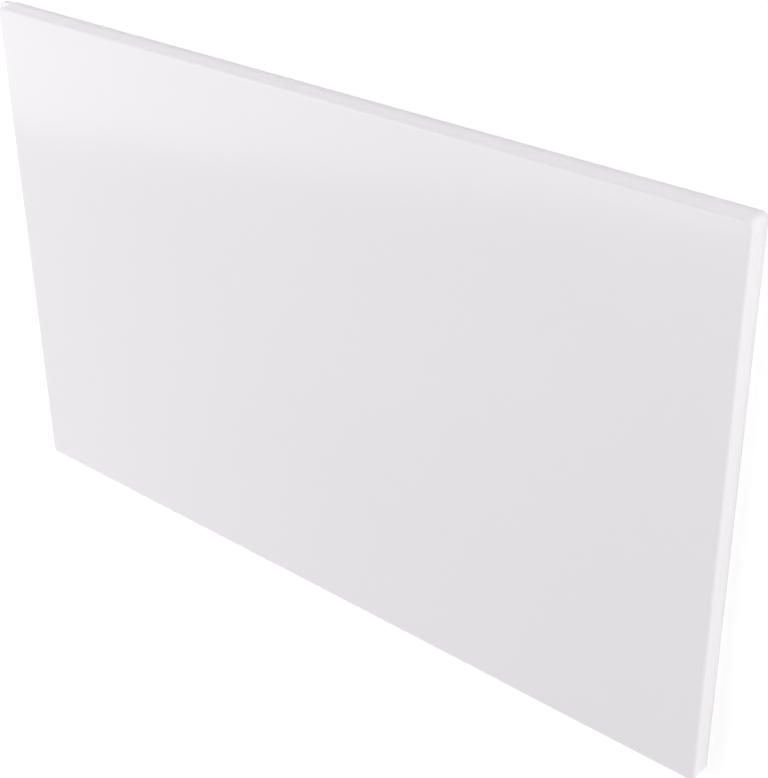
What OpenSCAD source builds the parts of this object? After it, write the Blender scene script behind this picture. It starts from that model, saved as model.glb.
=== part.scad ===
// Bath end panel, formed in one piece from white gloss acrylic sheet.
// It lies on its trimmed back edge with the front face up. X runs along the end of the bath,
// +Y is the edge that goes up under the bath rim, and Z is the depth of the returned edge.
// A flat tongue stands out at the -X end and goes behind the return of the panel beside it.
// The origin is at the middle of the footprint, on the plane of the trimmed edge.

/* [Panel] */
// Length along the end of the bath, over the returns and the tongue
panel_length = 700; // [300:1:1200]
// Height from the floor to the bath rim, over the returns
panel_height = 430; // [200:1:700]
// Depth of the returned edge, from the front face to the trimmed edge
return_depth = 18; // [14:0.5:60]

/* [Sheet] */
// Thickness of the formed sheet
sheet_thickness = 4; // [2:0.5:6]

/* [Forming] */
// Inside radius of the bend between the face and each return
inside_bend = 1.5; // [0.5:0.5:7]
// Corner radius of the flat face, inside the bend
face_corner = 0.5; // [0.5:0.5:60]
// How far each return leans out between the bend and the trimmed edge
return_flare = 0.25; // [0.05:0.05:2]

/* [Tongue] */
// How far the tongue stands out past the left return
tongue_reach = 15; // [9:0.5:40]
// How far the tongue stops short of each long edge
tongue_inset = 1; // [0.25:0.25:20]
// Radius of the tongue's two outer corners
tongue_corner = 6; // [1:0.5:9]
// Radius of the hollow between the left return and the tongue
tongue_fillet = 2; // [0.5:0.5:5]

/* [Hidden] */

$fn = 96;

// Outside radius of the bend: the sheet keeps its thickness round it
outside_bend = inside_bend + sheet_thickness;
// Height of the bend's centre above the trimmed edge
bend_centre = return_depth - outside_bend;
// How far the outside of a return stands out from the bend's centre, down at the trimmed edge
return_reach = outside_bend + return_flare;
// Draft of a return: the lean of the line from its foot that just touches the outside of the bend
draft_angle = acos(outside_bend / norm([return_reach, bend_centre]))
    - atan2(bend_centre, return_reach);
// Width of the level cut that trims the leaning return
trim_width = sheet_thickness / cos(draft_angle);
// How far the foot of a return stands out from the line of the corner centres
foot = face_corner + return_reach;
// Half lengths of the flat face between its corner centres
half_run = (panel_length - tongue_reach) / 2 - foot;
half_rise = panel_height / 2 - foot;
// Half length of the tongue, and how far it reaches from the line of the corner centres
tongue_half = half_rise + foot - tongue_inset;
tongue_out = foot + tongue_reach;
// Distance of the middle of a return's wall from the line of the corner centres
wall_middle = foot - sheet_thickness / 2;
// Height of the centre of the hollow beside the tongue, and its distance from the corner centres:
// the hollow runs a little into the leaning wall, so that no gap is left between them
fillet_height = sheet_thickness + tongue_fillet;
fillet_out = foot + tongue_fillet - return_flare;

// Direction square to the outside of a drafted return, in the plane of the section
function return_normal() = [cos(draft_angle), sin(draft_angle)];

// Quarter ring of sheet between the face and a return, about the bend's centre
module bend_section() {
    reach = 2 * outside_bend;
    intersection() {
        difference() {
            circle(r = outside_bend);
            circle(r = inside_bend);
        }
        polygon([[0, 0], reach * return_normal(), [reach, reach], [0, reach]]);
    }
}

// Straight leg of a return, from the bend down to the trimmed edge at height zero
module return_section() {
    centre = [face_corner, bend_centre];
    polygon([
        [foot, 0],
        centre + outside_bend * return_normal(),
        centre + inside_bend * return_normal(),
        [foot - trim_width, 0]
    ]);
}

// Section through the edge of the panel, from a corner's axis outwards
module edge_section() {
    translate([0, return_depth - sheet_thickness]) square([face_corner, sheet_thickness]);
    translate([face_corner, bend_centre]) bend_section();
    return_section();
}

// One straight edge of the given length, centred on the Y axis, with its return on the +X side
module straight_edge(length) {
    rotate([90, 0, 0])
        linear_extrude(height = length, center = true) edge_section();
}

// One rounded corner, which turns the same section through a quarter circle
module corner() {
    rotate_extrude(angle = 90) edge_section();
}

// Flat sheet inside the four edges
module flat_face() {
    translate([-half_run, -half_rise, return_depth - sheet_thickness])
        cube([2 * half_run, 2 * half_rise, sheet_thickness]);
}

// The face with the same returned edge all the way round
module tray() {
    flat_face();
    for (side = [0, 1]) {
        rotate([0, 0, 180 * side]) {
            translate([half_run, 0, 0]) straight_edge(2 * half_rise);
            translate([0, half_rise, 0]) rotate([0, 0, 90]) straight_edge(2 * half_run);
            translate([half_run, half_rise, 0]) corner();
            translate([-half_run, half_rise, 0]) rotate([0, 0, 90]) corner();
        }
    }
}

// Outline of the tongue from above, standing out to +X from the line of the corner centres:
// it starts in the middle of the return's wall, all along and round both corners
module tongue_outline() {
    difference() {
        union() {
            translate([0, -tongue_half])
                square([tongue_out - tongue_corner, 2 * tongue_half]);
            translate([0, tongue_corner - tongue_half])
                square([tongue_out, 2 * (tongue_half - tongue_corner)]);
            for (end = [-1, 1])
                translate([tongue_out - tongue_corner, end * (tongue_half - tongue_corner)])
                    circle(r = tongue_corner);
        }
        translate([-wall_middle, -half_rise]) square([2 * wall_middle, 2 * half_rise]);
        for (end = [-1, 1])
            translate([0, end * half_rise]) circle(r = wall_middle);
    }
}

// Section of the hollow between the return and the tongue, standing on the tongue's lower half
module fillet_section() {
    base = sheet_thickness / 2;
    difference() {
        translate([wall_middle, base])
            square([fillet_out - wall_middle, fillet_height - base]);
        translate([fillet_out, fillet_height]) circle(r = tongue_fillet);
    }
}

// The hollow along the return and round both corners, ended level with the tongue
module tongue_fillets() {
    intersection() {
        union() {
            rotate([90, 0, 0])
                linear_extrude(height = 2 * half_rise, center = true) fillet_section();
            translate([0, half_rise, 0]) rotate_extrude(angle = 90) fillet_section();
            translate([0, -half_rise, 0]) rotate([0, 0, -90])
                rotate_extrude(angle = 90) fillet_section();
        }
        translate([0, -tongue_half, 0])
            cube([tongue_out, 2 * tongue_half, fillet_height]);
    }
}

// Flat tongue at the -X end, with the hollow where it leaves the return
module tongue() {
    translate([-half_run, 0, 0]) mirror([1, 0, 0]) {
        linear_extrude(height = sheet_thickness) tongue_outline();
        tongue_fillets();
    }
}

// The whole panel, with the middle of its footprint at the origin
module panel() {
    color("white")
    translate([tongue_reach / 2, 0, 0])
    union() {
        tray();
        tongue();
    }
}

panel();
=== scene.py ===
"""Looks of a gloss white bath end panel, formed in one piece and lying face up on a pale floor."""

import logging
import math
from dataclasses import dataclass, field
from enum import Enum
from typing import List, Sequence, Tuple, Union

import bmesh
import bpy
from mathutils import Matrix, Vector


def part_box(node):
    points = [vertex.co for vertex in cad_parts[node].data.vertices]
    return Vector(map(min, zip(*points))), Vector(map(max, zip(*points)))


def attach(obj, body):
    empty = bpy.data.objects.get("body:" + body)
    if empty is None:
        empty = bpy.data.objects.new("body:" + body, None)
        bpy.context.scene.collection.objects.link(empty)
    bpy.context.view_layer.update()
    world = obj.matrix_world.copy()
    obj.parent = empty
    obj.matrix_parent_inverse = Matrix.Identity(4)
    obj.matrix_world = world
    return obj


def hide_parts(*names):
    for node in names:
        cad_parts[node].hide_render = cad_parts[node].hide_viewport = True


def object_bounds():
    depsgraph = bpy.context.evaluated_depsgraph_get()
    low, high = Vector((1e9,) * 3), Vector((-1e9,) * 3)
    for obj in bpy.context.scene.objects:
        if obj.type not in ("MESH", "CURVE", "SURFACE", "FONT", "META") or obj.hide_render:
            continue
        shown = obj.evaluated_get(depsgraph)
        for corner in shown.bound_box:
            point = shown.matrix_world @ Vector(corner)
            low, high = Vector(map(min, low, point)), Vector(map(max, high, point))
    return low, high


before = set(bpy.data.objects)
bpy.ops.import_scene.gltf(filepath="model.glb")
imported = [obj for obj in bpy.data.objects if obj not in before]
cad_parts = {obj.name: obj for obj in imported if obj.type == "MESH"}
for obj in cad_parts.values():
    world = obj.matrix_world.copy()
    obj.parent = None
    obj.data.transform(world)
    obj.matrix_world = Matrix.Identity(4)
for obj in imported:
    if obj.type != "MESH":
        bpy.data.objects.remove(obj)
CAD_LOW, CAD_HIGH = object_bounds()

LOG = logging.getLogger("bath_panel")
FRAME_PIXELS = (768, 778)
MM = 0.001
QUARTER_TURN = math.pi / 2
NO_TURN = Matrix.Identity(3)
# Roughness of paint with no shine
MATT = 0.9
# Places of the colour sockets on the Mix node, whose sockets share their names
MIX_FIRST, MIX_SECOND, MIX_RESULT = 6, 7, 2

Point = Tuple[float, float]
Place = Tuple[float, float, float]
Colour = Tuple[float, float, float, float]
Source = Union[bpy.types.NodeSocket, float, Colour]
# A ray's start, its way out from the panel, and how far the tongue stands out on it
Station = Tuple[Vector, Vector, float]


class Skin(Enum):
    """The three kinds of surface on the formed sheet, by their place in the material list."""

    POLISHED = 0
    INSIDE = 1
    SAWN = 2


def level(tone: float, tint: float = 1.0) -> Colour:
    """A near-white colour: a grey tone whose green is tinted down, as the acrylic's is."""
    return (tone, tone * tint, tone, 1.0)


def new_material(name: str) -> Tuple[bpy.types.Material, bpy.types.Node]:
    """Makes a material with nodes.

    Args:
        name: The material's name.

    Returns:
        The material and its shader.
    """
    made = bpy.data.materials.new(name)
    made.use_nodes = True
    return made, made.node_tree.nodes["Principled BSDF"]


def matt_paint(name: str, tone: float) -> Tuple[bpy.types.Material, bpy.types.Node]:
    """Makes a plain grey paint for the floor or a card.

    Args:
        name: The paint's name.
        tone: How light the paint is.

    Returns:
        The paint and its shader.
    """
    paint, shader = new_material(name)
    shader.inputs["Base Color"].default_value = level(tone)
    shader.inputs["Roughness"].default_value = MATT
    return paint, shader


def rectangle(name: str, wide: float, high: float) -> bpy.types.Mesh:
    """Makes a level rectangle round the origin.

    Args:
        name: The mesh's name.
        wide: Half its width.
        high: Half its height.

    Returns:
        The mesh.
    """
    mesh = bpy.data.meshes.new(name)
    corners = [(-wide, -high, 0), (wide, -high, 0), (wide, high, 0), (-wide, high, 0)]
    mesh.from_pydata(corners, [], [(0, 1, 2, 3)])
    return mesh


def put(name: str, data: bpy.types.ID, place: Sequence[float], turn: Matrix) -> bpy.types.Object:
    """Puts a mesh, a lamp or a camera into the scene.

    Args:
        name: The new object's name.
        data: What it shows.
        place: Where its origin goes.
        turn: How it is turned.

    Returns:
        The object.
    """
    made = bpy.data.objects.new(name, data)
    made.location = place
    made.rotation_euler = turn.to_euler()
    bpy.context.collection.objects.link(made)
    return made


@dataclass
class Graph:
    """A node tree that is being filled, with short calls for adding and joining nodes."""

    tree: bpy.types.NodeTree

    def add(self, kind: str, **settings: object) -> bpy.types.Node:
        """Adds one node.

        Args:
            kind: The node's type name without its ShaderNode prefix, or a full type name.
            settings: Attributes that are set on the node.

        Returns:
            The new node.
        """
        full = kind if kind.startswith("NodeGroup") else "ShaderNode" + kind
        node = self.tree.nodes.new(full)
        for name, value in settings.items():
            setattr(node, name, value)
        return node

    def feed(self, source: Source, target: bpy.types.NodeSocket) -> None:
        """Joins a socket to an input, or sets the input to a plain value.

        Args:
            source: The socket, number or colour that the input takes.
            target: The input.
        """
        if isinstance(source, bpy.types.NodeSocket):
            self.tree.links.new(source, target)
        else:
            target.default_value = source

    def maths(self, operation: str, first: Source, second: Source) -> bpy.types.NodeSocket:
        """Works out one sum on two sockets or numbers.

        Args:
            operation: The Math node's operation.
            first: The first operand, a socket or a number.
            second: The second operand, a socket or a number.

        Returns:
            The socket with the result.
        """
        node = self.add("Math", operation=operation)
        self.feed(first, node.inputs[0])
        self.feed(second, node.inputs[1])
        return node.outputs[0]

    def noise(self, scale: Source, detail: float, roughness: float) -> bpy.types.NodeSocket:
        """Even noise over the object's own coordinates.

        Args:
            scale: How many lumps to the metre, a socket or a number.
            detail: Octaves of finer noise.
            roughness: Share of the finer octaves.

        Returns:
            The noise value, which is about a half on average.
        """
        place = self.add("TexCoord")
        texture = self.add("TexNoise", noise_dimensions="3D")
        self.feed(place.outputs["Object"], texture.inputs["Vector"])
        self.feed(scale, texture.inputs["Scale"])
        texture.inputs["Detail"].default_value = detail
        texture.inputs["Roughness"].default_value = roughness
        return texture.outputs["Fac"]

    def ramp(
        self, value: Source, low: float, high: float, bottom: Source, top: Source
    ) -> bpy.types.NodeSocket:
        """Maps a value smoothly from one range to another.

        Args:
            value: The socket that is mapped.
            low: Value at which the result is bottom.
            high: Value at which the result is top.
            bottom: Result at the low end, a socket or a number.
            top: Result at the high end, a socket or a number.

        Returns:
            The mapped value.
        """
        node = self.add("MapRange", interpolation_type="SMOOTHSTEP")
        self.feed(value, node.inputs["Value"])
        node.inputs["From Min"].default_value = low
        node.inputs["From Max"].default_value = high
        self.feed(bottom, node.inputs["To Min"])
        self.feed(top, node.inputs["To Max"])
        return node.outputs["Result"]

    def blend(self, share: Source, first: Source, second: Source) -> bpy.types.NodeSocket:
        """Mixes two colours.

        Args:
            share: How much of the second colour shows, a socket or a number.
            first: The first colour, a socket or four numbers.
            second: The second colour, a socket or four numbers.

        Returns:
            The mixed colour.
        """
        node = self.add("Mix", data_type="RGBA")
        self.feed(share, node.inputs["Factor"])
        self.feed(first, node.inputs[MIX_FIRST])
        self.feed(second, node.inputs[MIX_SECOND])
        return node.outputs[MIX_RESULT]


@dataclass
class EffectGroup:
    """A shader node group with named inputs and outputs, built once and placed in materials."""

    name: str
    floats: List[str]
    outputs: List[str]
    tree: bpy.types.NodeTree = field(init=False)
    graph: Graph = field(init=False)
    into: bpy.types.Node = field(init=False)
    out: bpy.types.Node = field(init=False)

    def __post_init__(self) -> None:
        """Makes the group's tree, its sockets, and the two nodes that carry them."""
        self.tree = bpy.data.node_groups.new(self.name, "ShaderNodeTree")
        for names, way in ((self.floats, "INPUT"), (self.outputs, "OUTPUT")):
            for name in names:
                self.tree.interface.new_socket(
                    name=name, in_out=way, socket_type="NodeSocketFloat"
                )
        self.graph = Graph(self.tree)
        self.into = self.graph.add("NodeGroupInput")
        self.out = self.graph.add("NodeGroupOutput")
        self.fill()

    def fill(self) -> None:
        """Builds the nodes of the effect between the group's inputs and outputs."""
        raise NotImplementedError

    def given(self, name: str) -> bpy.types.NodeSocket:
        """The value that the material gives one of the group's inputs."""
        return self.into.outputs[name]

    def place(self, graph: Graph, **values: float) -> bpy.types.Node:
        """Puts the group into a material with that material's own values.

        Args:
            graph: The material's graph.
            values: Input values, with the spaces of the names written as underscores.

        Returns:
            The group's node in the material.
        """
        node = graph.add("Group", node_tree=self.tree)
        for name, value in values.items():
            node.inputs[name.replace("_", " ")].default_value = value
        return node


class FormedRelief(EffectGroup):
    """Height of a formed sheet's surface: long slow waves with fine orange peel on them."""

    def fill(self) -> None:
        """Adds up the two sizes of relief."""
        g = self.graph
        wave = g.noise(self.given("wave scale"), detail=1.0, roughness=0.4)
        peel = g.noise(self.given("peel scale"), detail=2.0, roughness=0.5)
        tall = g.maths("MULTIPLY", wave, self.given("wave height"))
        fine = g.maths("MULTIPLY", peel, self.given("peel height"))
        g.feed(g.maths("ADD", tall, fine), self.out.inputs["height"])


class HandledSurface(EffectGroup):
    """Masks of what handling leaves on a surface: wiped smears, and specks of dust."""

    def fill(self) -> None:
        """Builds the smears from broad noise and the specks from the peaks of fine noise."""
        g = self.graph
        broad = g.noise(self.given("smear scale"), detail=4.0, roughness=0.6)
        smear = g.ramp(broad, low=0.45, high=0.75, bottom=0.0, top=1.0)
        smeared = g.maths("MULTIPLY", smear, self.given("smear share"))
        g.feed(smeared, self.out.inputs["smear"])
        fine = g.noise(self.given("speck scale"), detail=1.0, roughness=0.3)
        speck = g.ramp(fine, low=0.76, high=0.82, bottom=0.0, top=1.0)
        specked = g.maths("MULTIPLY", speck, self.given("speck share"))
        g.feed(specked, self.out.inputs["speck"])


class SheetTone(EffectGroup):
    """Slow drift of tone through the sheet, as a mask between its lighter and darker colour."""

    def fill(self) -> None:
        """Layers a broad drift and a finer mottle."""
        g = self.graph
        drift = g.noise(self.given("drift scale"), detail=2.0, roughness=0.5)
        broad = g.ramp(drift, low=0.3, high=0.7, bottom=0.0, top=0.7)
        mottle = g.noise(self.given("mottle scale"), detail=3.0, roughness=0.6)
        fine = g.ramp(mottle, low=0.3, high=0.7, bottom=0.0, top=0.3)
        g.feed(g.maths("ADD", broad, fine), self.out.inputs["darker"])


@dataclass(frozen=True)
class SharedEffects:
    """The node groups that more than one finish places."""

    relief: FormedRelief
    handling: HandledSurface
    tone: SheetTone

    @classmethod
    def build(cls) -> "SharedEffects":
        """Builds every shared group once.

        Returns:
            The groups.
        """
        relief_inputs = ["wave scale", "wave height", "peel scale", "peel height"]
        handling_inputs = ["smear scale", "smear share", "speck scale", "speck share"]
        return cls(
            FormedRelief("formed relief", relief_inputs, ["height"]),
            HandledSurface("handled surface", handling_inputs, ["smear", "speck"]),
            SheetTone("sheet tone", ["drift scale", "mottle scale"], ["darker"]),
        )


@dataclass(frozen=True)
class SheetFinish:
    """One finish of the acrylic sheet, with everything that sets it apart from the others.

    Scales are in lumps to the metre, and heights in metres.
    """

    name: str
    light: Colour
    dark: Colour
    dusty: Colour
    gloss: float
    smeared_gloss: float
    wave_height: float
    peel_scale: float
    peel_height: float
    smear_share: float
    speck_share: float
    drift_scale: float = 5.0
    mottle_scale: float = 60.0
    wave_scale: float = 9.0
    smear_scale: float = 14.0
    speck_scale: float = 900.0
    index: float = 1.49

    def material(self, effects: SharedEffects) -> bpy.types.Material:
        """Builds the finish as a procedural material.

        Args:
            effects: The shared node groups.

        Returns:
            The material.
        """
        made, shader = new_material(self.name)
        g = Graph(made.node_tree)
        shader.inputs["IOR"].default_value = self.index
        tone = effects.tone.place(
            g, drift_scale=self.drift_scale, mottle_scale=self.mottle_scale
        )
        marks = effects.handling.place(
            g,
            smear_scale=self.smear_scale,
            smear_share=self.smear_share,
            speck_scale=self.speck_scale,
            speck_share=self.speck_share,
        )
        relief = effects.relief.place(
            g,
            wave_scale=self.wave_scale,
            wave_height=self.wave_height,
            peel_scale=self.peel_scale,
            peel_height=self.peel_height,
        )
        sheet = g.blend(tone.outputs["darker"], self.light, self.dark)
        dusted = g.blend(marks.outputs["speck"], sheet, self.dusty)
        g.feed(dusted, shader.inputs["Base Color"])
        gloss = g.ramp(marks.outputs["smear"], 0.0, 1.0, self.gloss, self.smeared_gloss)
        g.feed(g.maths("ADD", gloss, marks.outputs["speck"]), shader.inputs["Roughness"])
        # The bump's height is in metres already, so its distance is one
        bump = g.add("Bump")
        bump.inputs["Distance"].default_value = 1.0
        g.feed(self.raised(g, relief.outputs["height"]), bump.inputs["Height"])
        g.feed(bump.outputs["Normal"], shader.inputs["Normal"])
        return made

    def raised(self, g: Graph, height: bpy.types.NodeSocket) -> bpy.types.NodeSocket:
        """The height that the bump takes: the formed relief as it is."""
        return height


@dataclass(frozen=True)
class SawnFinish(SheetFinish):
    """The trimmed edge, which keeps the fine marks of the cutter that ran along it."""

    mark_scale: float = 700.0
    mark_height: float = 0.00002
    mark_waver: float = 2.0

    def raised(self, g: Graph, height: bpy.types.NodeSocket) -> bpy.types.NodeSocket:
        """Adds the cutter's close ridges to the formed relief.

        Args:
            g: The material's graph.
            height: The formed relief.

        Returns:
            The height that the bump takes.
        """
        place = g.add("TexCoord")
        ridges = g.add("TexWave", wave_type="BANDS", bands_direction="DIAGONAL")
        g.feed(place.outputs["Object"], ridges.inputs["Vector"])
        ridges.inputs["Scale"].default_value = self.mark_scale
        ridges.inputs["Distortion"].default_value = self.mark_waver
        marks = g.maths("MULTIPLY", ridges.outputs["Fac"], self.mark_height)
        return g.maths("ADD", height, marks)


POLISHED = SheetFinish(
    name="polished_acrylic",
    light=level(0.875, 0.97),
    dark=level(0.865, 0.969),
    dusty=level(0.80, 0.98),
    gloss=0.13,
    smeared_gloss=0.17,
    wave_height=0.00006,
    peel_scale=420.0,
    peel_height=0.0000012,
    smear_share=0.5,
    speck_share=0.05,
)
INSIDE = SheetFinish(
    name="inside_acrylic",
    light=level(0.84, 0.985),
    dark=level(0.80, 0.98),
    dusty=level(0.70, 0.97),
    gloss=0.42,
    smeared_gloss=0.55,
    wave_height=0.0001,
    peel_scale=260.0,
    peel_height=0.00001,
    smear_share=0.9,
    speck_share=0.2,
)
SAWN = SawnFinish(
    name="sawn_acrylic",
    light=level(0.85, 0.985),
    dark=level(0.80, 0.98),
    dusty=level(0.72, 0.97),
    gloss=0.5,
    smeared_gloss=0.62,
    wave_height=0.00002,
    peel_scale=600.0,
    peel_height=0.00001,
    smear_share=0.7,
    speck_share=0.25,
)


@dataclass
class EdgeSection:
    """Section of the sheet from the flat face over the bend and down to the trimmed edge.

    Distances run outwards from the line of the corner centres, and heights up from the trimmed
    edge. The bend is crisper than the solid's, as the photograph shows it. Where the tongue runs
    out to nothing, its hollow and its broken edge shrink to a share of what is left of it.
    """

    depth: float
    sheet: float = 4.0 * MM
    outside_bend: float = 2.5 * MM
    inside_bend: float = 0.5 * MM
    face_corner: float = 2.1 * MM
    flare: float = 0.25 * MM
    edge_break: float = 0.12 * MM
    web_fillet: float = 2.0 * MM
    fillet_share: float = 0.8
    break_share: float = 0.2
    outside_steps: int = 18
    inside_steps: int = 8
    small_steps: int = 4

    def __post_init__(self) -> None:
        """Works out the bend and the lean of the return."""
        self.bend_height = self.depth - self.outside_bend
        self.foot = self.face_corner + self.outside_bend + self.flare
        reach = self.outside_bend + self.flare
        touch = math.acos(self.outside_bend / math.hypot(reach, self.bend_height))
        self.lean = touch - math.atan2(self.bend_height, reach)
        self.inner_foot = self.foot - self.sheet / math.cos(self.lean)

    def leg(self, height: float) -> float:
        """Distance of the return's outside at a height on its straight part."""
        return self.foot - height * math.tan(self.lean)

    def arc(
        self, centre: Point, radius: float, start: float, end: float, steps: int
    ) -> List[Point]:
        """Points along an arc.

        Args:
            centre: The arc's centre.
            radius: Its radius.
            start: Angle of the first point, in radians from straight outwards.
            end: Angle of the last point.
            steps: How many steps the arc is drawn in.

        Returns:
            The points, both ends among them.
        """
        x, z = centre
        angles = [start + (end - start) * i / steps for i in range(steps + 1)]
        return [(x + radius * math.cos(a), z + radius * math.sin(a)) for a in angles]

    def outside(self, web: float) -> List[Point]:
        """Points of the polished side, from the face's edge to the trimmed edge.

        Args:
            web: How far the tongue stands out here past the return, or zero.

        Returns:
            The points, always the same number of them.
        """
        centre = (self.face_corner, self.bend_height)
        points = self.arc(
            centre, self.outside_bend, QUARTER_TURN, self.lean, self.outside_steps
        )
        hollow_top = self.sheet + self.web_fillet
        points.append((self.leg(hollow_top), hollow_top))
        fillet = min(self.web_fillet, self.fillet_share * web)
        root = (self.leg(self.sheet) + fillet, self.sheet + fillet)
        points += self.arc(root, fillet, math.pi, 3 * QUARTER_TURN, self.small_steps)
        nose = min(self.edge_break, self.break_share * web)
        tip = (self.leg(self.sheet) + web - nose, self.sheet - nose)
        points += self.arc(tip, nose, QUARTER_TURN, 0.0, self.small_steps)
        return points

    def trimmed(self, web: float) -> List[Point]:
        """Points of the cut, from the polished side to the inside.

        Args:
            web: How far the tongue stands out here past the return, or zero.

        Returns:
            The points, always the same number of them.
        """
        small = self.edge_break
        outer = (self.leg(0.0) + web - small, small)
        inner = (self.inner_foot + small, small)
        points = self.arc(outer, small, 0.0, -QUARTER_TURN, self.small_steps)
        points += self.arc(inner, small, -QUARTER_TURN, -math.pi, self.small_steps)
        return points

    def inside(self) -> List[Point]:
        """Points of the inside, from the trimmed edge up to the back of the face.

        Returns:
            The points, always the same number of them.
        """
        height = self.depth - self.sheet - self.inside_bend
        wall = self.inner_foot - height * math.tan(self.lean)
        centre = (wall - self.inside_bend / math.cos(self.lean), height)
        return self.arc(centre, self.inside_bend, self.lean, QUARTER_TURN, self.inside_steps)


@dataclass
class Tongue:
    """Flat flange beyond the left return, at the back, which goes behind the next panel's edge."""

    reach: float = 15.0 * MM
    inset: float = 1.0 * MM
    corner: float = 6.0 * MM
    corner_steps: int = 8

    def extent(self, section: EdgeSection) -> Point:
        """How far the flange reaches from a corner's centre, outwards and along the end."""
        return section.foot + self.reach, section.foot - self.inset

    def web(self, angle: float, section: EdgeSection) -> float:
        """How far the flange stands past the return, along a ray from a corner's centre.

        Args:
            angle: The ray's angle from straight out to the left, in radians.
            section: The edge section that the flange grows from.

        Returns:
            The length of flange on that ray, which falls to nothing along the long edges.
        """
        out, side = self.extent(section)
        across, along = math.cos(angle), abs(math.sin(angle))
        if along * out <= (side - self.corner) * across:
            length = out / across
        elif across * side <= (out - self.corner) * along:
            length = side / along
        else:
            centre = Vector((out - self.corner, side - self.corner))
            towards = centre.dot(Vector((across, along)))
            length = towards + math.sqrt(towards**2 - centre.length_squared + self.corner**2)
        return max(0.0, length - section.foot)

    def web_beside(self, inward: float, section: EdgeSection) -> float:
        """How far the flange stands past the return, on a ray straight out to the left.

        Args:
            inward: How far the ray is from the nearer corner's centre, towards the middle.
            section: The edge section that the flange grows from.

        Returns:
            The length of flange on that ray.
        """
        turned = max(0.0, self.corner + self.inset - section.foot - inward)
        return self.reach - self.corner + math.sqrt(self.corner**2 - turned**2)

    def rays(self, section: EdgeSection) -> List[float]:
        """Angles of the rays that draw a left corner well.

        Args:
            section: The edge section that the flange grows from.

        Returns:
            The angles, between straight left and straight along the end.
        """
        out, side = self.extent(section)
        centre = Vector((out - self.corner, side - self.corner))
        # Rays through the points of the flange's rounded corner, but none past straight left
        angles = []
        for i in range(self.corner_steps + 1):
            turn = QUARTER_TURN * i / self.corner_steps
            point = centre + self.corner * Vector((math.cos(turn), math.sin(turn)))
            angles.append(math.atan2(point.y, point.x))
        angles = [a for a in angles if a > 0.0]
        # Even steps from there to the long edge, along which the flange runs out
        first, steps = angles[-1], 2 * self.corner_steps
        return angles + [first + (QUARTER_TURN - first) * i / steps for i in range(1, steps)]


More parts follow.
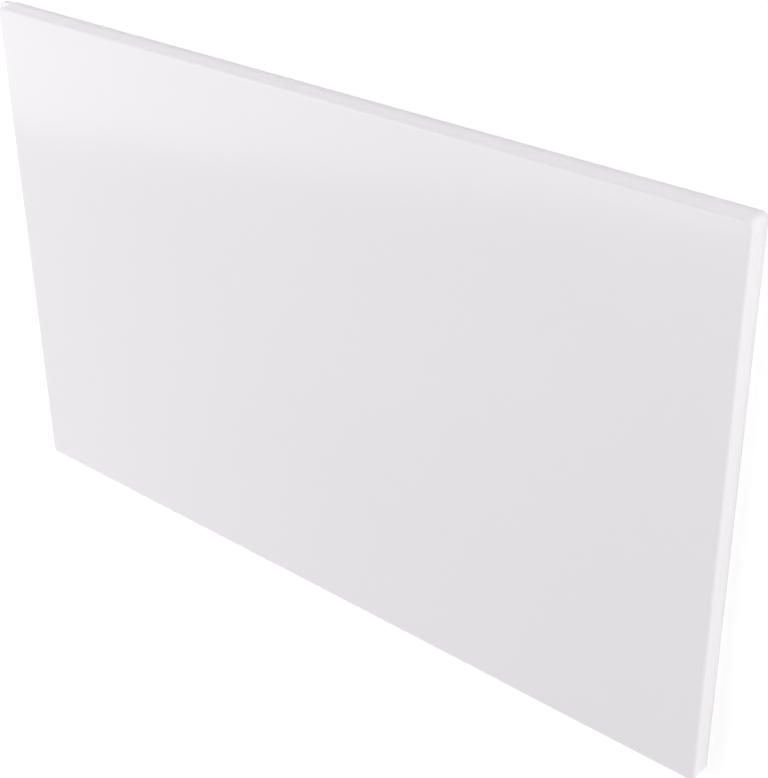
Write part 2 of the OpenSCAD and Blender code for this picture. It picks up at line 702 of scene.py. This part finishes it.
@dataclass
class MouldedPanel:
    """The whole panel as one closed mesh: flat face, returned edge, trimmed foot and tongue.

    It stays inside its node's box by the slack.
    """

    low: Vector
    high: Vector
    tongue: Tongue = field(default_factory=Tongue)
    face_cell: float = 14.0 * MM
    edge_rings: Tuple[float, ...] = (0.6 * MM, 1.6 * MM, 3.2 * MM, 6.0 * MM, 11.0 * MM)
    corner_steps: int = 14
    slack: float = 0.05 * MM
    draw_in: float = 0.12 * MM
    draw_width: float = 9.0 * MM
    weld: float = 0.002 * MM
    sharp_degrees: float = 50.0

    def __post_init__(self) -> None:
        """Works out the section and the box of the corner centres from the frame's node."""
        self.section = EdgeSection(depth=self.high.z - self.low.z - self.slack)
        foot = self.section.foot
        self.left = self.low.x + self.tongue.reach + foot + self.slack
        self.right = self.high.x - foot - self.slack
        self.front = self.low.y + foot + self.slack
        self.back = self.high.y - foot - self.slack

    def lines(self, start: float, end: float) -> List[float]:
        """Grid lines across the face, close together near both ends.

        Args:
            start: The first line.
            end: The last line.

        Returns:
            The places of the lines.
        """
        inner = end - start - 2 * self.edge_rings[-1]
        count = max(2, round(inner / self.face_cell))
        middle = [start + self.edge_rings[-1] + inner * i / count for i in range(count + 1)]
        near = [start + r for r in self.edge_rings[:-1]]
        far = [end - r for r in reversed(self.edge_rings[:-1])]
        return [start] + near + middle + far + [end]

    def face_drop(self, x: float, y: float) -> float:
        """How far the face has drawn down at a point, which it does a little beside the bends.

        Args:
            x: Where the point is along the length.
            y: Where it is across the height.

        Returns:
            The drop.
        """
        away = min(x - self.left, self.right - x, y - self.front, self.back - y)
        near = max(0.0, 1.0 - away / self.draw_width)
        return self.draw_in * near * near

    def fan(
        self, base: Point, first: Vector, second: Vector, angles: Sequence[float], tongued: bool
    ) -> List[Station]:
        """The rays of one corner.

        Args:
            base: The corner's centre.
            first: The direction that angle zero has.
            second: The direction that a quarter turn has.
            angles: The rays' angles, in order.
            tongued: Whether the tongue goes round this corner.

        Returns:
            The rays.
        """
        made = []
        for a in angles:
            web = self.tongue.web(a, self.section) if tongued else 0.0
            made.append((Vector(base), first * math.cos(a) + second * math.sin(a), web))
        return made

    def stations(self, xs: List[float], ys: List[float]) -> List[Station]:
        """The rays round the panel from which the edge section is drawn.

        Args:
            xs: The face's grid lines across the length.
            ys: Its grid lines across the height.

        Returns:
            The rays, anticlockwise from the left end of the front edge.
        """
        down, right, up, left = Vector((0, -1)), Vector((1, 0)), Vector((0, 1)), Vector((-1, 0))
        even = [QUARTER_TURN * i / self.corner_steps for i in range(1, self.corner_steps)]
        rays = self.tongue.rays(self.section)
        made = [(Vector((x, self.front)), down, 0.0) for x in xs]
        made += self.fan((self.right, self.front), down, right, even, False)
        made += [(Vector((self.right, y)), right, 0.0) for y in ys]
        made += self.fan((self.right, self.back), right, up, even, False)
        made += [(Vector((x, self.back)), up, 0.0) for x in reversed(xs)]
        made += self.fan((self.left, self.back), left, up, rays[::-1], True)
        for y in reversed(ys):
            inward = min(self.back - y, y - self.front)
            web = self.tongue.web_beside(inward, self.section)
            made.append((Vector((self.left, y)), left, web))
        made += self.fan((self.left, self.front), left, down, rays, True)
        return made

    def build(self) -> bpy.types.Object:
        """Builds the closed mesh, with its three kinds of surface told apart.

        Returns:
            The panel, linked to the scene.
        """
        xs, ys = self.lines(self.left, self.right), self.lines(self.front, self.back)
        bm = bmesh.new()
        self.lay_faces(bm, xs, ys)
        self.edge_all_round(bm, xs, ys)
        bmesh.ops.remove_doubles(bm, verts=bm.verts, dist=self.weld)
        bmesh.ops.dissolve_degenerate(bm, edges=bm.edges, dist=self.weld)
        bmesh.ops.recalc_face_normals(bm, faces=bm.faces)
        mesh = bpy.data.meshes.new("panel_shell")
        bm.to_mesh(mesh)
        bm.free()
        mesh.shade_smooth()
        mesh.set_sharp_from_angle(angle=math.radians(self.sharp_degrees))
        made = put("panel_shell", mesh, (0, 0, 0), NO_TURN)
        weighted = made.modifiers.new("even_normals", "WEIGHTED_NORMAL")
        weighted.mode = "FACE_AREA"
        weighted.keep_sharp = True
        return made

    def lay_faces(self, bm: bmesh.types.BMesh, xs: List[float], ys: List[float]) -> None:
        """Lays the front of the face and its back as two grids.

        Args:
            bm: The mesh that is being built.
            xs: Grid lines across the length.
            ys: Grid lines across the height.
        """
        top = self.low.z + self.section.depth
        for height, skin in ((top, Skin.POLISHED), (top - self.section.sheet, Skin.INSIDE)):
            grid = [
                [bm.verts.new((x, y, height - self.face_drop(x, y))) for y in ys] for x in xs
            ]
            for row, after in zip(grid, grid[1:]):
                for j in range(len(ys) - 1):
                    quad = (row[j], after[j], after[j + 1], row[j + 1])
                    turned = quad if skin is Skin.POLISHED else quad[::-1]
                    bm.faces.new(turned).material_index = skin.value

    def sunk(self, height: float, top: float, bend: float) -> float:
        """How far a point of the bend has drawn down with the face that it leaves.

        Args:
            height: The point's height on the section.
            top: Height of the face's surface on that side of the sheet.
            bend: Radius of the bend on that side.

        Returns:
            The drop, which falls to nothing at the foot of the bend.
        """
        return self.draw_in * max(0.0, 1.0 - (top - height) / bend)

    def edge_all_round(self, bm: bmesh.types.BMesh, xs: List[float], ys: List[float]) -> None:
        """Sweeps the edge section round the panel and closes it on itself.

        Args:
            bm: The mesh that is being built.
            xs: The face's grid lines across the length.
            ys: Its grid lines across the height.
        """
        section = self.section
        face, back = section.depth, section.depth - section.sheet
        rings = []
        skins: List[Skin] = []
        for base, out, web in self.stations(xs, ys):
            outer, cut, inner = section.outside(web), section.trimmed(web), section.inside()
            points = [(0.0, face)] + outer + cut + inner + [(0.0, back)]
            skins = [Skin.POLISHED] * len(outer) + [Skin.SAWN] * len(cut)
            skins += [Skin.INSIDE] * (len(inner) + 1)
            ring = []
            # The cut lies below both bends, so it counts with the inside and doesn't draw down
            for m, (reach, height) in enumerate(points):
                if m <= len(outer):
                    drop = self.sunk(height, face, section.outside_bend)
                else:
                    drop = self.sunk(height, back, section.inside_bend)
                place = base + out * reach
                ring.append(bm.verts.new((place.x, place.y, self.low.z + height - drop)))
            rings.append(ring)
        for k, ring in enumerate(rings):
            after = rings[(k + 1) % len(rings)]
            for m in range(len(ring) - 1):
                quad = (ring[m], ring[m + 1], after[m + 1], after[m])
                bm.faces.new(quad).material_index = skins[m].value

    def dress(self, made: bpy.types.Object, effects: SharedEffects) -> None:
        """Gives the panel its three finishes in the order of the skins.

        Args:
            made: The panel.
            effects: The shared node groups.
        """
        for finish in (POLISHED, INSIDE, SAWN):
            made.data.materials.append(finish.material(effects))
        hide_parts("panel")
        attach(made, "root")


@dataclass(frozen=True)
class HungPiece:
    """Something flat that hangs in the studio.

    It is placed by its middle, the way that it faces and, near enough, the way that it is long.
    """

    name: str
    centre: Place
    faces: Place
    along: Place
    width: float
    height: float

    def turn(self) -> Matrix:
        """Works out how it is turned.

        Returns:
            The turn that brings -Z to the way it faces and X to the way it is long.
        """
        back = -Vector(self.faces).normalized()
        side = Vector(self.along)
        side = (side - side.dot(back) * back).normalized()
        return Matrix((side, back.cross(side), back)).transposed()

    def hang(self) -> None:
        """Hangs it in the scene."""
        raise NotImplementedError


@dataclass(frozen=True)
class Softbox(HungPiece):
    """One wide soft lamp, which shines the way that it faces.

    Its surface is as bright as brightness times a white sky.
    """

    brightness: float

    def hang(self) -> None:
        """Hangs the lamp."""
        lamp = bpy.data.lights.new(self.name, "AREA")
        lamp.shape = "RECTANGLE"
        lamp.size = self.width
        lamp.size_y = self.height
        lamp.energy = self.brightness * math.pi * self.width * self.height
        put(self.name, lamp, self.centre, self.turn())


@dataclass(frozen=True)
class DarkCard(HungPiece):
    """One dark card that only reflections see: the gloss bends show it and lose no light."""

    tone: float

    def hang(self) -> None:
        """Hangs the card."""
        mesh = rectangle(self.name, self.width / 2, self.height / 2)
        paint, _ = matt_paint(self.name, self.tone)
        mesh.materials.append(paint)
        made = put(self.name, mesh, self.centre, self.turn())
        made.visible_camera = made.visible_diffuse = made.visible_shadow = False


LAMPS = (
    Softbox(
        name="left_softbox",
        centre=(-1.36, 0.48, 1.62),
        faces=(0.65, 0.37, -0.66),
        along=(0.75, -0.17, 0.64),
        width=2.4,
        height=2.2,
        brightness=1.26,
    ),
    Softbox(
        name="left_top",
        centre=(-0.8, 0.35, 1.0),
        faces=(0.3, -0.25, -0.9),
        along=(0.0, 1.0, -0.28),
        width=0.8,
        height=0.5,
        brightness=0.92,
    ),
    Softbox(
        name="front_left",
        centre=(-0.9, -1.3, 0.35),
        faces=(0.6, 0.75, -0.15),
        along=(0.9, -0.5, 0.0),
        width=1.0,
        height=0.5,
        brightness=4.15,
    ),
    Softbox(
        name="back_right",
        centre=(0.9, 1.7, 0.7),
        faces=(-0.4, -0.85, -0.35),
        along=(0.9, -0.4, 0.0),
        width=1.2,
        height=0.8,
        brightness=1.42,
    ),
    Softbox(
        name="back_low",
        centre=(1.0, 1.7, 0.22),
        faces=(-0.4, -0.9, -0.1),
        along=(0.9, -0.4, 0.0),
        width=1.2,
        height=0.4,
        brightness=1.42,
    ),
    Softbox(
        name="right_low",
        centre=(2.0, 0.0, 0.22),
        faces=(-1.0, 0.0, -0.1),
        along=(0.0, 1.0, 0.0),
        width=1.6,
        height=0.4,
        brightness=1.78,
    ),
    Softbox(
        name="right_mid",
        centre=(2.0, 0.2, 0.9),
        faces=(-0.9, -0.1, -0.4),
        along=(0.0, 1.0, 0.0),
        width=1.4,
        height=0.9,
        brightness=2.18,
    ),
    Softbox(
        name="right_corner",
        centre=(1.9, -0.5, 0.4),
        faces=(-0.93, 0.3, -0.2),
        along=(0.3, 0.95, 0.0),
        width=1.5,
        height=0.7,
        brightness=0.65,
    ),
)
BACK_CARD = DarkCard(
    name="back_flag",
    centre=(-0.13, 1.2, 0.65),
    faces=(0.25, -0.9, -0.35),
    along=(0.95, 0.3, 0.0),
    width=0.75,
    height=0.7,
    tone=0.12,
)


@dataclass
class Studio:
    """Plain pale studio: a wide floor, an even sky, soft lamps and a dark card."""

    floor_half: float = 12.0
    floor_drop: float = 0.01 * MM
    floor_tone: float = 0.90
    floor_lift: float = 0.30
    sky_light: float = 0.44
    sky_seen: float = 1.0
    hung: Tuple[HungPiece, ...] = LAMPS + (BACK_CARD,)

    def seen_directly(self, g: Graph) -> bpy.types.NodeSocket:
        """Tells the rays that show the floor or the sky from those that only light the panel.

        Args:
            g: The graph of the floor or the sky.

        Returns:
            One for a camera's, a reflection's or a transmitted ray, and nothing for the others.
        """
        path = g.add("LightPath")
        either = g.maths("MAXIMUM", path.outputs["Is Camera Ray"], path.outputs["Is Glossy Ray"])
        return g.maths("MAXIMUM", either, path.outputs["Is Transmission Ray"])

    def lay_floor(self) -> None:
        """Lays the floor, which looks almost white round the panel and keeps its shadow."""
        mesh = rectangle("studio_floor", self.floor_half, self.floor_half)
        paint, shader = matt_paint("pale_floor", self.floor_tone)
        shader.inputs["Specular IOR Level"].default_value = 0.0
        shader.inputs["Emission Color"].default_value = level(1.0)
        g = Graph(paint.node_tree)
        lift = g.maths("MULTIPLY", self.seen_directly(g), self.floor_lift)
        g.feed(lift, shader.inputs["Emission Strength"])
        mesh.materials.append(paint)
        put("studio_floor", mesh, (0, 0, CAD_LOW.z - self.floor_drop), NO_TURN)

    def light_sky(self) -> None:
        """Makes the sky an even white to the eye, and dimmer as a light."""
        sky = bpy.data.worlds.new("studio_sky")
        bpy.context.scene.world = sky
        sky.use_nodes = True
        g = Graph(sky.node_tree)
        shader = sky.node_tree.nodes["Background"]
        shader.inputs["Color"].default_value = level(1.0)
        strength = g.ramp(self.seen_directly(g), 0.0, 1.0, self.sky_light, self.sky_seen)
        g.feed(strength, shader.inputs["Strength"])

    def build(self) -> None:
        """Lays the floor, lights the sky and hangs the lamps and the card."""
        self.lay_floor()
        self.light_sky()
        for piece in self.hung:
            piece.hang()


@dataclass
class ViewCamera:
    """The camera where the photograph was taken from, rolled so that the panel runs across."""

    aim: Place = (45.87 * MM, 34.25 * MM, 18.0 * MM)
    distance: float = 1188.34 * MM
    azimuth: float = 129.686
    elevation: float = 41.384
    roll: float = -119.986
    lens: float = 74.986
    centre_pixel: Point = (356.02, 340.48)
    nearest: float = 0.01
    furthest: float = 100.0

    def place(self) -> None:
        """Sets up the camera and makes it the scene's."""
        data = bpy.data.cameras.new("view_camera")
        data.lens = self.lens
        longest = max(FRAME_PIXELS)
        data.shift_x = (FRAME_PIXELS[0] / 2 - self.centre_pixel[0]) / longest
        data.shift_y = (self.centre_pixel[1] - FRAME_PIXELS[1] / 2) / longest
        data.clip_start = self.nearest
        data.clip_end = self.furthest
        turn, rise = math.radians(self.azimuth), math.radians(self.elevation)
        flat = math.cos(rise)
        back = Vector((math.sin(turn) * flat, -math.cos(turn) * flat, math.sin(rise)))
        facing = (-back).to_track_quat("-Z", "Y").to_matrix()
        rolled = facing @ Matrix.Rotation(math.radians(self.roll), 3, "Z")
        made = put("view_camera", data, Vector(self.aim) + back * self.distance, rolled)
        bpy.context.scene.camera = made


def main() -> None:
    """Builds the camera, the studio and the panel, and reports each piece."""
    logging.basicConfig(level=logging.INFO, format="%(name)s: %(message)s")
    bpy.context.scene.view_settings.view_transform = "Standard"
    ViewCamera().place()
    LOG.info("camera placed")
    Studio().build()
    LOG.info("studio floor, sky and lamps made")
    effects = SharedEffects.build()
    panel = MouldedPanel(*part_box("panel"))
    shell = panel.build()
    panel.dress(shell, effects)
    LOG.info("panel shell made with %d faces", len(shell.data.polygons))


if __name__ == "__main__":
    main()
